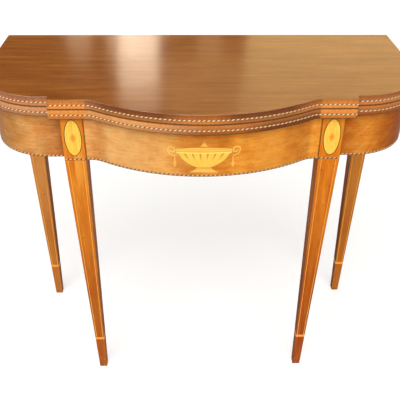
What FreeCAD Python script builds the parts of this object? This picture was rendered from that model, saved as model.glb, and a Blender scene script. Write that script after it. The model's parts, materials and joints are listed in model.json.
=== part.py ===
import FreeCAD, Part
import math
import os
from types import SimpleNamespace

import Sketcher
from FreeCAD import Placement, Rotation, Vector

# An inlaid mahogany card table: a folding top with a bowed front, flat breaks over the
# front legs and ovolo ends, on a veneered apron with two swinging rear legs.
# Frame: +Z up, the front faces -Y, the origin is under the middle of the part on the floor.

SIZES = {
    # Folding top, two leaves of one outline
    "table_height": 750.0,
    "top_width": 882.0,
    "top_depth": 427.0,
    "leaf_thickness": 20.0,
    "leaf_gap": 0.3,
    "bow_radius": 370.0,
    "cove_radius": 34.6,
    "flat_width": 68.0,
    "break_depth": 14.0,
    "shelf_width": 12.0,
    "ovolo_radius": 138.0,
    # Apron rails, their veneer and the patterned stringing
    "apron_height": 94.0,
    "rail_inset": 12.0,
    "rail_thickness": 22.0,
    "rear_rail_thickness": 20.0,
    "veneer_thickness": 2.0,
    "leaf_string_height": 3.0,
    "leaf_string_margin": 1.0,
    "apron_string_height": 4.0,
    "housing_depth": 10.0,
    # Square tapered legs and their inlay
    "leg_width": 42.0,
    "foot_width": 17.5,
    "foot_chamfer": 1.2,
    "front_foot_toe_in": 6.0,
    "front_foot_set_back": 8.5,
    "front_leg_setback": 39.5,
    "rear_leg_setback": 38.0,
    "leg_inset": 10.0,
    "rear_overhang": 21.0,
    "inlay_depth": 1.0,
    "line_width": 1.3,
    "cuff_base": 100.0,
    "cuff_height": 7.5,
    "oval_width": 34.0,
    "oval_margin": 5.5,
    "oval_border": 1.4,
    # Mortise and tenon joints
    "tenon_length": 18.0,
    "tenon_thickness": 10.0,
    "tenon_height": 62.0,
    # Swinging rear legs on wooden knuckle joints
    "knuckle_spread": 184.0,
    "knuckle_gap": 0.4,
    "socket_gap": 0.5,
    "swing_clearance": 0.3,
    "knuckle_pin_diameter": 8.0,
    "pin_clearance": 0.05,
    # Brass hinges let into the ends of the leaves
    "hinge_length": 56.0,
    "hinge_width": 6.0,
    "hinge_thickness": 3.0,
    "hinge_eye_radius": 4.2,
    "hinge_eye_clearance": 0.3,
    "hinge_lap_clearance": 0.1,
    "hinge_pin_diameter": 3.0,
    "pivot_gap": 0.15,
    # Brace, glue blocks and screws
    "brace_width": 34.0,
    "brace_height": 52.0,
    "dovetail_depth": 10.0,
    "dovetail_neck": 22.0,
    "dovetail_tail": 30.0,
    "block_length": 40.0,
    "block_depth": 20.0,
    "block_height": 24.0,
    "block_screw_length": 36.0,
    "rail_screw_length": 36.0,
    "rail_screw_spread": 100.0,
    "wood_screw_diameter": 4.0,
    "wood_screw_head": 8.0,
    "hinge_screw_length": 13.0,
    "hinge_screw_diameter": 2.4,
    "hinge_screw_head": 4.2,
    # Urn of pictorial inlay in the middle of the bow
    "urn_rise": 9.8,
    "urn_foot_width": 65.0,
    "urn_foot_height": 11.0,
    "urn_neck_width": 25.0,
    "urn_bowl_width": 105.0,
    "urn_bowl_radius": 75.0,
    "urn_rim_height": 6.0,
    "urn_lid_height": 4.2,
    "urn_finial_gap": 2.5,
    "urn_finial_width": 20.0,
    "urn_finial_height": 13.0,
    "urn_headroom": 16.0,
    "scroll_gap": 1.0,
    "scroll_radius": 7.5,
    "scroll_thickness": 2.2,
    "scroll_curl": 3.2,
    "scroll_tail": 13.0,
    "drop_offset": 2.0,
    "drop_length": 22.0,
    "drop_width": 7.0,
    "drop_ball_radius": 1.8,
    "drop_gap": 0.8,
    # Every cut runs past the surface it leaves by this much
    "overrun": 5.0,
}

KNUCKLES = 5
LINE_EDGE_SHARE = 0.15
HINGE_SCREW_SHARES = (0.32, 0.74)
RAIL_SCREW_SHARES = (0.25, 0.75)
SIDE_BLOCK_SHARE = 0.45
BEVEL_SHARE = math.sqrt(0.5)
HORN_ANGLE = math.radians(43)
HORN_X_SHARE = math.cos(HORN_ANGLE)
HORN_Y_SHARE = math.sin(HORN_ANGLE)

SIDES = {"left": -1, "right": 1}

X_AXIS = Vector(1, 0, 0)
Y_AXIS = Vector(0, 1, 0)
Z_AXIS = Vector(0, 0, 1)


class Dim:
    """A length together with the sheet expression that drives it."""

    def __init__(self, number, text):
        self.number = number
        self.text = text

    @staticmethod
    def of(other):
        return other if isinstance(other, Dim) else Dim(float(other), repr(float(other)))

    def joined(self, sign, other, number):
        return Dim(number, f"({self.text} {sign} {Dim.of(other).text})")

    def __add__(self, other):
        return self.joined("+", other, self.number + Dim.of(other).number)

    def __sub__(self, other):
        return self.joined("-", other, self.number - Dim.of(other).number)

    def __mul__(self, other):
        return self.joined("*", other, self.number * Dim.of(other).number)

    def __truediv__(self, other):
        return self.joined("/", other, self.number / Dim.of(other).number)

    def __rmul__(self, other):
        return Dim.of(other) * self

    def __neg__(self):
        return Dim(-self.number, f"(0 - {self.text})")

    def root(self):
        return Dim(math.sqrt(self.number), f"sqrt({self.text})")


doc = FreeCAD.newDocument("card_table")
sheet = doc.addObject("Spreadsheet::Sheet", "sizes")
for row, (alias, number) in enumerate(SIZES.items(), start=1):
    sheet.set(f"A{row}", alias)
    sheet.set(f"B{row}", str(number))
    sheet.setAlias(f"B{row}", alias)
doc.recompute()

d = SimpleNamespace(**{alias: Dim(number, f"sizes.{alias}") for alias, number in SIZES.items()})
ZERO = Dim.of(0)

# Levels
UPPER_BASE = d.table_height - d.leaf_thickness
LOWER_TOP = UPPER_BASE - d.leaf_gap
UNDER_TOP = LOWER_TOP - d.leaf_thickness
APRON_BASE = UNDER_TOP - d.apron_height
CUFF_TOP = d.cuff_base + d.cuff_height
LEAF_STRING_RISE = d.hinge_width + d.leaf_string_margin
FLY_TOP = UNDER_TOP - d.swing_clearance
FLY_HEIGHT = d.apron_height - d.swing_clearance
KNUCKLE_HEIGHT = FLY_HEIGHT / KNUCKLES

# Breadths, as distances from the middle
TOP_SIDE = d.top_width / 2
OVOLO_X = TOP_SIDE - d.ovolo_radius
FLAT_OUTER = OVOLO_X - d.shelf_width
FLAT_INNER = FLAT_OUTER - d.flat_width
FRONT_LEG_X = FLAT_OUTER - d.front_leg_setback
REAR_LEG_X = TOP_SIDE - d.rear_leg_setback
LEG_INNER = FRONT_LEG_X - d.leg_width / 2
LEG_OUTER = FRONT_LEG_X + d.leg_width / 2
FLY_END = REAR_LEG_X - d.leg_width / 2
KNUCKLE_X = d.knuckle_spread / 2
CORE_INSET = d.rail_inset + d.veneer_thickness
INNER_INSET = CORE_INSET + d.rail_thickness
END_INNER = TOP_SIDE - INNER_INSET
HINGE_INNER = TOP_SIDE - d.hinge_thickness

# Depths, from the crown of the bow to the plane of the rear rail
FRONT = -(d.top_depth + d.pivot_gap + d.hinge_eye_radius) / 2
BOW_TO_COVE = d.bow_radius + d.cove_radius
BOW_PROJECTION = BOW_TO_COVE - (BOW_TO_COVE * BOW_TO_COVE - FLAT_INNER * FLAT_INNER).root()
FLAT = FRONT + BOW_PROJECTION
SHELF = FLAT + d.break_depth
BACK = FRONT + d.top_depth
REAR = BACK - d.rear_overhang - d.leg_width - d.swing_clearance
LEG_FACE = FLAT + d.leg_inset
PIVOT_Y = BACK + d.pivot_gap
PIVOT_Z = LOWER_TOP + d.leaf_gap / 2
KNUCKLE_Y = REAR + d.rail_thickness / 2

pieces = {}


def keep(label, made):
    """Name a finished sub-part, which is then written under that name."""
    made.Label = label
    pieces[label] = made
    return made


def bind(made, **sizes):
    for prop, size in sizes.items():
        made.setExpression(prop, Dim.of(size).text)
    return made


def place(made, x, y, z):
    for axis, at in zip("xyz", (x, y, z)):
        made.setExpression(f"Placement.Base.{axis}", Dim.of(at).text)
    return made


def block(name, x, y, z):
    """A box between two ends on each axis."""
    box = doc.addObject("Part::Box", name)
    bind(box, Length=x[1] - x[0], Width=y[1] - y[0], Height=z[1] - z[0])
    return place(box, x[0], y[0], z[0])


def rod(name, start, radius, length, direction=Z_AXIS):
    bar = doc.addObject("Part::Cylinder", name)
    bar.Placement = Placement(Vector(), Rotation(Z_AXIS, direction))
    bind(bar, Radius=radius, Height=length)
    return place(bar, *start)


def taper(name, low, high, z):
    """A frustum between two rectangles (x0, x1, y0, y1), the low one at z[0], the high one at z[1]."""
    wedge = doc.addObject("Part::Wedge", name)
    wedge.Placement = Placement(Vector(), Rotation(X_AXIS, 90))
    bind(wedge, Xmin=low[0], Xmax=low[1], Zmin=-low[3], Zmax=-low[2])
    bind(wedge, X2min=high[0], X2max=high[1], Z2min=-high[3], Z2max=-high[2])
    return bind(wedge, Ymin=z[0], Ymax=z[1])


def cut(name, base, *tools):
    for step, tool in enumerate(tools):
        left = doc.addObject("Part::Cut", f"{name}_less_{step}")
        left.Base = base
        left.Tool = tool
        base = left
    return base


def common(name, base, tool):
    both = doc.addObject("Part::Common", name)
    both.Base = base
    both.Tool = tool
    return both


def fuse(name, *shapes):
    whole = doc.addObject("Part::MultiFuse", name)
    whole.Shapes = list(shapes)
    whole.Refine = True
    return whole


def group(label, shapes):
    """Identical small pieces that share one name."""
    made = doc.addObject("Part::Compound", f"{label}_group")
    made.Links = list(shapes)
    return keep(label, made)


def screw(name, tip_to, direction, length, diameter, head):
    """A countersunk wood screw whose head lies flush at tip_to and which points along direction."""
    turned = Placement(Vector(), Rotation(Z_AXIS, direction))
    cone = doc.addObject("Part::Cone", f"{name}_head")
    cone.Placement = turned
    bind(cone, Radius1=head / 2, Radius2=diameter / 2, Height=(head - diameter) / 2)
    place(cone, *tip_to)
    shank = rod(f"{name}_shank", tip_to, diameter / 2, length, direction)
    return fuse(name, cone, shank)


def sketch_on(body, name, role, lift):
    """An empty sketch on one of the body's origin planes, lifted along the plane's normal."""
    sketch = body.newObject("Sketcher::SketchObject", name)
    plane = next(item for item in body.Origin.OriginFeatures if item.Role == role)
    sketch.AttachmentSupport = (plane, "")
    sketch.MapMode = "FlatFace"
    sketch.setExpression("AttachmentOffset.Base.z", Dim.of(lift).text)
    return sketch


def arc_between(start, stop, bend):
    """The shorter arc from start to stop that turns left for a positive radius, right for a negative."""
    chord = stop - start
    radius = abs(bend)
    rise = math.sqrt(max(radius * radius - chord.Length ** 2 / 4, 0))
    aside = Vector(-chord.y, chord.x, 0).normalize() * math.copysign(rise, bend)
    centre = (start + stop) / 2 + aside
    first, last = (start, stop) if bend > 0 else (stop, start)
    angles = [math.atan2(end.y - centre.y, end.x - centre.x) for end in (first, last)]
    return Part.ArcOfCircle(Part.Circle(centre, Z_AXIS, radius), *angles)


def fix_point(sketch, geometry, end, x, y):
    """Hold one end of a sketch line at sheet-driven distances from the sketch's origin."""
    for kind, axis, at in (("DistanceX", -2, x), ("DistanceY", -1, y)):
        if at.number == 0:
            sketch.addConstraint(Sketcher.Constraint("PointOnObject", geometry, end, axis))
            continue
        ends = (-1, 1, geometry, end) if at.number > 0 else (geometry, end, -1, 1)
        index = sketch.addConstraint(Sketcher.Constraint(kind, *ends, abs(at.number)))
        sketch.setExpression(f"Constraints[{index}]", at.text if at.number > 0 else (-at).text)


def draw(sketch, path):
    """Close a profile through corners (x, y) or (x, y, bend), the bend being the next arc's radius."""
    corners = [(corner + (ZERO,))[:3] for corner in path]
    first_ends = []
    last_ends = []
    for here, there in zip(corners, corners[1:] + corners[:1]):
        start, stop = (Vector(at[0].number, at[1].number, 0) for at in (here, there))
        bend = here[2]
        if bend.number == 0:
            geometry = sketch.addGeometry(Part.LineSegment(start, stop))
        else:
            geometry = sketch.addGeometry(arc_between(start, stop, bend.number))
        backward = bend.number < 0
        first_ends.append((geometry, 2 if backward else 1))
        last_ends.append((geometry, 1 if backward else 2))
    for stop, start in zip(last_ends, first_ends[1:] + first_ends[:1]):
        sketch.addConstraint(Sketcher.Constraint("Coincident", *stop, *start))
    for (geometry, end), (x, y, bend) in zip(first_ends, corners):
        fix_point(sketch, geometry, end, x, y)
        if bend.number:
            index = sketch.addConstraint(Sketcher.Constraint("Radius", geometry, abs(bend.number)))
            sketch.setExpression(f"Constraints[{index}]", bend.text if bend.number > 0 else (-bend).text)
    return sketch


def mirrored(path):
    """The same corners on the other side of the sketch's upright axis."""
    return [(-x, y, *(-bend for bend in rest)) for x, y, *rest in path]


def new_body(name):
    return doc.addObject("PartDesign::Body", f"{name}_body")


def pad(body, sketch, length, reverse=False):
    feature = body.newObject("PartDesign::Pad", f"{sketch.Name}_pad")
    feature.Profile = sketch
    feature.Reversed = reverse
    sketch.Visibility = False
    return bind(feature, Length=length)


def pocket(body, sketch, length):
    """Cut upwards from the sketch."""
    feature = body.newObject("PartDesign::Pocket", f"{sketch.Name}_pocket")
    feature.Profile = sketch
    feature.Reversed = True
    sketch.Visibility = False
    return bind(feature, Length=length)


def mirror(body, features):
    """Repeat the features on the other side of the table's middle plane."""
    feature = body.newObject("PartDesign::Mirrored", f"{body.Name}_mirror")
    feature.Originals = features
    plane = next(item for item in body.Origin.OriginFeatures if item.Role == "YZ_Plane")
    feature.MirrorPlane = (plane, [""])
    feature.Refine = True
    body.Tip = feature
    return body


def climb(body, feature, copies, pitch):
    """Repeat a feature up the body."""
    row = body.newObject("PartDesign::LinearPattern", f"{body.Name}_row")
    row.Originals = [feature]
    axis = next(item for item in body.Origin.OriginFeatures if item.Role == "Z_Axis")
    row.Direction = (axis, [""])
    row.Occurrences = copies
    bind(row, Length=(copies - 1) * pitch)
    body.Tip = row
    return body


def span(side, near, far):
    """The ends along X of what lies between two distances from the middle, on one side."""
    return (near, far) if side > 0 else (-far, -near)


# The plan of the table, shared by the leaves, the rails, their veneer and the stringing


def plan_path(inset, break_x, back):
    """Right half of the outline, drawn in from the leaves' edge by an inset: the bow, the cove
    that turns it into the flat, the break, the ovolo and the straight end."""
    bow = d.bow_radius - inset
    meet_x = bow * FLAT_INNER / BOW_TO_COVE
    meet_y = FRONT + d.bow_radius - bow * (BOW_TO_COVE - BOW_PROJECTION) / BOW_TO_COVE
    side = TOP_SIDE - inset
    return [
        (ZERO, FRONT + inset, bow),
        (meet_x, meet_y, -(d.cove_radius + inset)),
        (FLAT_INNER, FLAT + inset),
        (break_x, FLAT + inset),
        (break_x, SHELF + inset),
        (OVOLO_X, SHELF + inset, d.ovolo_radius - inset),
        (side, SHELF + d.ovolo_radius),
        (side, back),
        (ZERO, back),
    ]


def leaf_path(inset, back):
    return plan_path(inset, FLAT_OUTER - inset, back)


def apron_path(inset, back):
    """The apron breaks behind the middle of the front leg, so the leg covers its step."""
    return plan_path(inset, FRONT_LEG_X, back)


def slab(name, path, base, height):
    """A full-width board of the given half outline."""
    body = new_body(name)
    sketch = draw(sketch_on(body, f"{name}_plan", "XY_Plane", base), path)
    return mirror(body, [pad(body, sketch, height)])


def hoop(name, path_at, outer, inner, back, base, height):
    """A band that follows the outline round the front and both ends, open at the back."""
    body = new_body(name)
    outside = draw(sketch_on(body, f"{name}_outside", "XY_Plane", base), path_at(outer, back))
    band = pad(body, outside, height)
    inside = draw(sketch_on(body, f"{name}_inside", "XY_Plane", base), path_at(inner, back + d.overrun))
    return mirror(body, [band, pocket(body, inside, height)])


# Hinges: half-lapped eyes on one pin at each back corner of the leaves

LAP = (d.hinge_thickness - d.hinge_lap_clearance) / 2
EYE_ROOM = d.hinge_eye_radius + d.hinge_eye_clearance


def pivot_rod(name, side, near, far, radius):
    """A rod on the leaves' pivot line between two distances from the middle."""
    start = span(side, near, far)[0]
    return rod(name, (start, PIVOT_Y, PIVOT_Z), radius, far - near, X_AXIS)


def hinge_plate(label, side, z, own, other, pin_radius):
    """A plate let into the end of a leaf, with an eye through its own half of the thickness."""
    bar = block(f"{label}_bar", span(side, HINGE_INNER, TOP_SIDE), (BACK - d.hinge_length, BACK), z)
    eye = pivot_rod(f"{label}_eye", side, *own, d.hinge_eye_radius)
    room = pivot_rod(f"{label}_room", side, *other, EYE_ROOM)
    bore = pivot_rod(f"{label}_bore", side, HINGE_INNER - d.overrun, TOP_SIDE + d.overrun, pin_radius)
    return bar, cut(label, fuse(f"{label}_eyed", cut(f"{label}_lapped", bar, room), eye), bore)


def make_hinges(leaf, z, eye_layers, pin_radius):
    """Both plates of one leaf, their screws and the tools that cut their seats."""
    seats = []
    screws = []
    for side_name, side in SIDES.items():
        label = f"{side_name}_{leaf}_hinge_plate"
        bar, plate = hinge_plate(label, side, z, *eye_layers, pin_radius)
        own_screws = []
        for number, share in enumerate(HINGE_SCREW_SHARES):
            at = (side * TOP_SIDE, BACK - d.hinge_length * (1 - share), (z[0] + z[1]) / 2)
            own_screws.append(screw(
                f"{label}_screw_{number}", at, X_AXIS * -side,
                d.hinge_screw_length, d.hinge_screw_diameter, d.hinge_screw_head,
            ))
        keep(label, cut(f"{label}_drilled", plate, *own_screws))
        room = pivot_rod(
            f"{label}_seat", side, HINGE_INNER - d.hinge_lap_clearance, TOP_SIDE + d.overrun, EYE_ROOM,
        )
        seats += [bar, room]
        screws += own_screws
    group(f"{leaf}_hinge_screws", screws)
    return seats + screws


def make_leaf(leaf, base, hinge_z, eye_layers, pin_radius):
    """A leaf with its stringing let into the edge and its hinge plates into the ends."""
    board = slab(f"{leaf}_board", leaf_path(ZERO, BACK), base, d.leaf_thickness)
    string = hoop(
        f"{leaf}_string", leaf_path, ZERO, d.inlay_depth, BACK,
        base + LEAF_STRING_RISE, d.leaf_string_height,
    )
    keep(f"{leaf}_leaf_stringing", string)
    tools = make_hinges(leaf, hinge_z, eye_layers, pin_radius)
    return cut(f"{leaf}_leaf_cut", board, string, *tools)


HINGE_PIN_RADIUS = d.hinge_pin_diameter / 2
INNER_LAP = (HINGE_INNER, HINGE_INNER + LAP)
OUTER_LAP = (TOP_SIDE - LAP, TOP_SIDE)
BEHIND_OUTER_LAP = (HINGE_INNER, TOP_SIDE - LAP)
OUTSIDE_INNER_LAP = (HINGE_INNER + LAP, TOP_SIDE)

upper_leaf = make_leaf(
    "upper", UPPER_BASE, (UPPER_BASE, UPPER_BASE + d.hinge_width),
    (INNER_LAP, OUTSIDE_INNER_LAP), HINGE_PIN_RADIUS + d.pin_clearance,
)
keep("upper_leaf", upper_leaf)
lower_leaf = make_leaf(
    "lower", UNDER_TOP, (LOWER_TOP - d.hinge_width, LOWER_TOP),
    (OUTER_LAP, BEHIND_OUTER_LAP), HINGE_PIN_RADIUS,
)
group("hinge_pins", [
    pivot_rod(f"{name}_hinge_pin", side, HINGE_INNER, TOP_SIDE, HINGE_PIN_RADIUS)
    for name, side in SIDES.items()
])

# Apron: rail cores, face veneer and the patterned stringing along the lower edge

core_hoop = hoop("core", apron_path, CORE_INSET, INNER_INSET, REAR, APRON_BASE, d.apron_height)
veneer_hoop = hoop("veneer", apron_path, d.rail_inset, CORE_INSET, REAR, APRON_BASE, d.apron_height)
string_hoop = hoop("string", apron_path, d.rail_inset, CORE_INSET, REAR, APRON_BASE, d.apron_string_height)

PAST_APRON = (APRON_BASE - d.overrun, UNDER_TOP + d.overrun)
PAST_DEPTH = (FRONT - d.overrun, BACK + d.overrun)
TENON_Z = (
    APRON_BASE + (d.apron_height - d.tenon_height) / 2,
    APRON_BASE + (d.apron_height + d.tenon_height) / 2,
)


def tenon(name, x, rail_face):
    """A tenon in the middle of a rail's thickness."""
    near = rail_face + (d.rail_thickness - d.tenon_thickness) / 2
    return block(name, x, (near, near + d.tenon_thickness), TENON_Z)


def make_brace():
    """A brace from the front rail to the rear rail, dovetailed down into both from above."""
    front_end = FRONT + INNER_INSET
    rear_end = REAR - d.rear_rail_thickness
    tail = d.dovetail_tail / 2
    neck = d.dovetail_neck / 2
    side = d.brace_width / 2
    right = [
        (tail, front_end - d.dovetail_depth), (neck, front_end), (side, front_end),
        (side, rear_end), (neck, rear_end), (tail, rear_end + d.dovetail_depth),
    ]
    body = new_body("medial_brace")
    sketch = sketch_on(body, "brace_plan", "XY_Plane", UNDER_TOP - d.brace_height)
    pad(body, draw(sketch, right + mirrored(right)[::-1]), d.brace_height)
    return keep("medial_brace", body)


brace = make_brace()
rear_rail = block(
    "rear_rail_board",
    (-(END_INNER + d.housing_depth), END_INNER + d.housing_depth),
    (REAR - d.rear_rail_thickness, REAR),
    (APRON_BASE, UNDER_TOP),
)

front_bay = block("front_bay", (-LEG_INNER, LEG_INNER), PAST_DEPTH, PAST_APRON)
front_tenons = [
    tenon(f"{name}_front_tenon", span(side, LEG_INNER, LEG_INNER + d.tenon_length), FLAT + CORE_INSET)
    for name, side in SIDES.items()
]
front_rail = fuse("front_rail_tenoned", common("front_core", core_hoop, front_bay), *front_tenons)
keep("front_rail", cut("front_rail_housed", front_rail, brace))
front_string = keep("front_rail_stringing", common("front_string_band", string_hoop, front_bay))
front_face = common("front_face", veneer_hoop, front_bay)

end_rails = {}
for side_name, side in SIDES.items():
    bay = block(f"{side_name}_bay", span(side, LEG_OUTER, TOP_SIDE), PAST_DEPTH, PAST_APRON)
    tenon_x = span(side, LEG_OUTER - d.tenon_length, LEG_OUTER)
    end_tenon = tenon(f"{side_name}_end_tenon", tenon_x, SHELF + CORE_INSET)
    core = fuse(f"{side_name}_end_tenoned", common(f"{side_name}_end_core", core_hoop, bay), end_tenon)
    end_rails[side_name] = keep(f"{side_name}_end_rail", cut(f"{side_name}_end_housed", core, rear_rail))
    string = keep(f"{side_name}_end_stringing", common(f"{side_name}_end_band", string_hoop, bay))
    face = common(f"{side_name}_end_face", veneer_hoop, bay)
    keep(f"{side_name}_end_veneer", cut(f"{side_name}_end_faced", face, string))

# Urn inlay: outlines drawn on the front and carried back into the bowed veneer

URN_BASE = APRON_BASE + d.urn_rise
BOWL_BASE = URN_BASE + d.urn_foot_height
FINIAL_BASE = UNDER_TOP - d.urn_headroom - d.urn_finial_height
LID_BASE = FINIAL_BASE - d.urn_finial_gap - d.urn_lid_height
RIM_BASE = LID_BASE - d.urn_rim_height
SCROLL_X = d.urn_bowl_width / 2 + d.scroll_gap + d.scroll_radius
SCROLL_Z = LID_BASE - d.scroll_thickness
DROP_X = d.urn_bowl_width / 2 + d.drop_offset
TAIL_END = SCROLL_Z - d.scroll_tail
DROP_TOP = TAIL_END - d.drop_gap
DROP_END = DROP_TOP - d.drop_length + 2 * d.drop_ball_radius + d.drop_gap
FINIAL_WAIST_SHARE = 0.13
FINIAL_SWEEP_SHARE = 0.5
FINIAL_BALL_SHARE = 0.25
DROP_STEM_SHARE = 0.28
DROP_BELL_SHARE = 0.45


def sweep_radius(run, rise):
    """Radius of an arc that sets off along the run and climbs by the rise."""
    return (run * run + rise * rise) / (2 * rise)


def inlay(name, path):
    """The part of the front veneer inside an outline."""
    body = new_body(name)
    sketch = draw(sketch_on(body, f"{name}_outline", "XZ_Plane", -FRONT), path)
    pad(body, sketch, BOW_PROJECTION, reverse=True)
    return common(f"{name}_inlay", body, front_face)


def symmetric(right):
    """Close an outline from its right half, listed upwards. A corner on the axis isn't repeated."""
    left = []
    for index, (x, z, *_) in enumerate(right):
        bend = right[index - 1][2:] if index else ()
        if x.number:
            left.append((-x, z, *bend))
    return right + left[::-1]


def urn_foot():
    base = d.urn_foot_width / 2
    neck = d.urn_neck_width / 2
    return symmetric([(base, URN_BASE, -sweep_radius(base - neck, d.urn_foot_height)), (neck, BOWL_BASE)])


def urn_bowl():
    return symmetric([
        (d.urn_neck_width / 2, BOWL_BASE, d.urn_bowl_radius), (d.urn_bowl_width / 2, RIM_BASE),
    ])


def urn_rim():
    side = d.urn_bowl_width / 2
    return symmetric([(side, RIM_BASE), (side, LID_BASE)])


def urn_lid():
    side = d.urn_bowl_width / 2
    return [(side, LID_BASE, sweep_radius(side, d.urn_lid_height)), (-side, LID_BASE)]


def urn_finial():
    """A spreading base that sweeps up to a waist under a ball."""
    base = d.urn_finial_width / 2
    waist = d.urn_finial_width * FINIAL_WAIST_SHARE
    climb_to = d.urn_finial_height * FINIAL_SWEEP_SHARE
    ball = d.urn_finial_height * FINIAL_BALL_SHARE
    tip = FINIAL_BASE + d.urn_finial_height
    return symmetric([
        (base, FINIAL_BASE, -sweep_radius(base - waist, climb_to)), (waist, FINIAL_BASE + climb_to),
        (ball, tip - ball, ball), (ZERO, tip, ball),
    ])


def scroll():
    """The right handle: a curl of half turns about one level, whose outer side runs down to the bowl."""
    x = SCROLL_X
    outer = d.scroll_radius
    inner = outer - d.scroll_thickness
    curl = (outer + d.scroll_curl) / 2
    curl_x = x - (outer - d.scroll_curl) / 2
    curl_inner = curl - d.scroll_thickness
    tail = sweep_radius(d.scroll_tail, x + outer - DROP_X)
    return [
        (curl_x + curl, SCROLL_Z, -curl), (curl_x, SCROLL_Z - curl, -curl),
        (x - outer, SCROLL_Z, -outer), (x, SCROLL_Z + outer, -outer),
        (x + outer, SCROLL_Z, -tail), (DROP_X, TAIL_END),
        (DROP_X, TAIL_END + d.scroll_thickness, tail - d.scroll_thickness),
        (x + inner, SCROLL_Z, inner), (x, SCROLL_Z + inner, inner),
        (x - inner, SCROLL_Z, curl_inner), (curl_x, SCROLL_Z - curl_inner, curl_inner),
        (curl_x + curl_inner, SCROLL_Z),
    ]


def drop():
    """The right pendant: a slender stem that flares into a bell."""
    x = DROP_X
    stem = d.drop_width * DROP_STEM_SHARE / 2
    flare = d.drop_width / 2
    bell = DROP_TOP - d.drop_length * DROP_BELL_SHARE
    return [
        (x - flare, DROP_END), (x + flare, DROP_END, d.drop_length), (x + stem, bell),
        (x + stem, DROP_TOP), (x - stem, DROP_TOP), (x - stem, bell, d.drop_length),
    ]


def drop_ball():
    x = DROP_X
    ball = d.drop_ball_radius
    middle = DROP_END - d.drop_gap - ball
    return [
        (x, middle - ball, ball), (x + ball, middle, ball),
        (x, middle + ball, ball), (x - ball, middle, ball),
    ]


urn_inlays = [
    keep("urn_foot", inlay("urn_foot", urn_foot())),
    keep("urn_bowl", inlay("urn_bowl", urn_bowl())),
    keep("urn_rim", inlay("urn_rim", urn_rim())),
    keep("urn_lid", inlay("urn_lid", urn_lid())),
    keep("urn_finial", inlay("urn_finial", urn_finial())),
]
for name, side in SIDES.items():
    paths = [path if side > 0 else mirrored(path) for path in (scroll(), drop(), drop_ball())]
    handle, bell, ball = (inlay(f"{name}_urn_{number}", path) for number, path in enumerate(paths))
    urn_inlays.append(keep(f"{name}_urn_handle", handle))
    urn_inlays.append(group(f"{name}_urn_drop", [bell, ball]))
keep("front_rail_veneer", cut("front_faced", front_face, front_string, *urn_inlays))

# Legs, with the stile square through the apron and tapered below it on all four faces


def leg_section(leg, z, trim=ZERO):
    """The rectangle of a leg at a level below the apron, drawn in all round by a trim.
    Its middle drifts from the stile's to the foot's as the leg goes down."""
    down = (APRON_BASE - z) / APRON_BASE
    x = leg.x + leg.foot_drift[0] * down
    y = leg.y + leg.foot_drift[1] * down
    half = (d.leg_width - (d.leg_width - d.foot_width) * down) / 2 - trim
    return (x - half, x + half, y - half, y + half)


def leg_blank(leg, top):
    x0, x1, y0, y1 = leg_section(leg, APRON_BASE)
    ankle = leg_section(leg, d.foot_chamfer)
    stile = block(f"{leg.name}_stile", (x0, x1), (y0, y1), (APRON_BASE, top))
    shaft = taper(f"{leg.name}_shaft", ankle, (x0, x1, y0, y1), (d.foot_chamfer, APRON_BASE))
    sole = leg_section(leg, d.foot_chamfer, d.foot_chamfer)
    toe = taper(f"{leg.name}_toe", sole, ankle, (ZERO, d.foot_chamfer))
    return fuse(f"{leg.name}_blank", stile, shaft, toe)


def leg_cuff(leg):
    """A light band let in round the leg above the foot."""
    z = (d.cuff_base, CUFF_TOP)
    outside = taper(f"{leg.name}_cuff_outside", *(leg_section(leg, level) for level in z), z)
    inside = taper(f"{leg.name}_cuff_inside", *(leg_section(leg, level, d.inlay_depth) for level in z), z)
    return keep(f"{leg.name}_cuff", cut(f"{leg.name}_cuff_band", outside, inside))


def line_section(leg, z, side):
    """The rectangle of one of the lines at a level, set in from that side of the front face."""
    x0, x1, face, _ = leg_section(leg, z)
    middle = (x0 + x1) / 2 + side * (x1 - x0) * (0.5 - LINE_EDGE_SHARE)
    return (middle - d.line_width / 2, middle + d.line_width / 2, face, face + d.inlay_depth)


def leg_lines(leg):
    """Two fine lines down the front face, drawing together with the taper."""
    z = (CUFF_TOP, APRON_BASE)
    lines = [
        taper(f"{leg.name}_{side_name}_line", *(line_section(leg, level, side) for level in z), z)
        for side_name, side in SIDES.items()
    ]
    return group(f"{leg.name}_stringing", lines)


def ellipse_plate(name, x, z, width, height):
    """An upright oval plate let into the face of a front leg."""
    rim = doc.addObject("Part::Ellipse", f"{name}_rim")
    rim.Placement = Placement(Vector(), Rotation(Z_AXIS, X_AXIS, Y_AXIS, "XYZ"))
    bind(rim, MajorRadius=height / 2, MinorRadius=width / 2)
    place(rim, x, LEG_FACE, z)
    plate = doc.addObject("Part::Extrusion", name)
    plate.Base = rim
    plate.DirMode = "Custom"
    plate.Dir = Y_AXIS
    plate.Solid = True
    return bind(plate, LengthFwd=d.inlay_depth)


def leg_oval(name, x):
    """An oval of light wood in a dark border on the leg's stile."""
    room = d.apron_height - d.apron_string_height
    z = UNDER_TOP - room / 2
    height = room - 2 * d.oval_margin
    outside = ellipse_plate(f"{name}_oval_outside", x, z, d.oval_width, height)
    inner = (d.oval_width - 2 * d.oval_border, height - 2 * d.oval_border)
    field = ellipse_plate(f"{name}_oval_plate", x, z, *inner)
    border = cut(f"{name}_oval_ring", outside, field)
    return outside, keep(f"{name}_oval_field", field), keep(f"{name}_oval_border", border)


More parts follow.
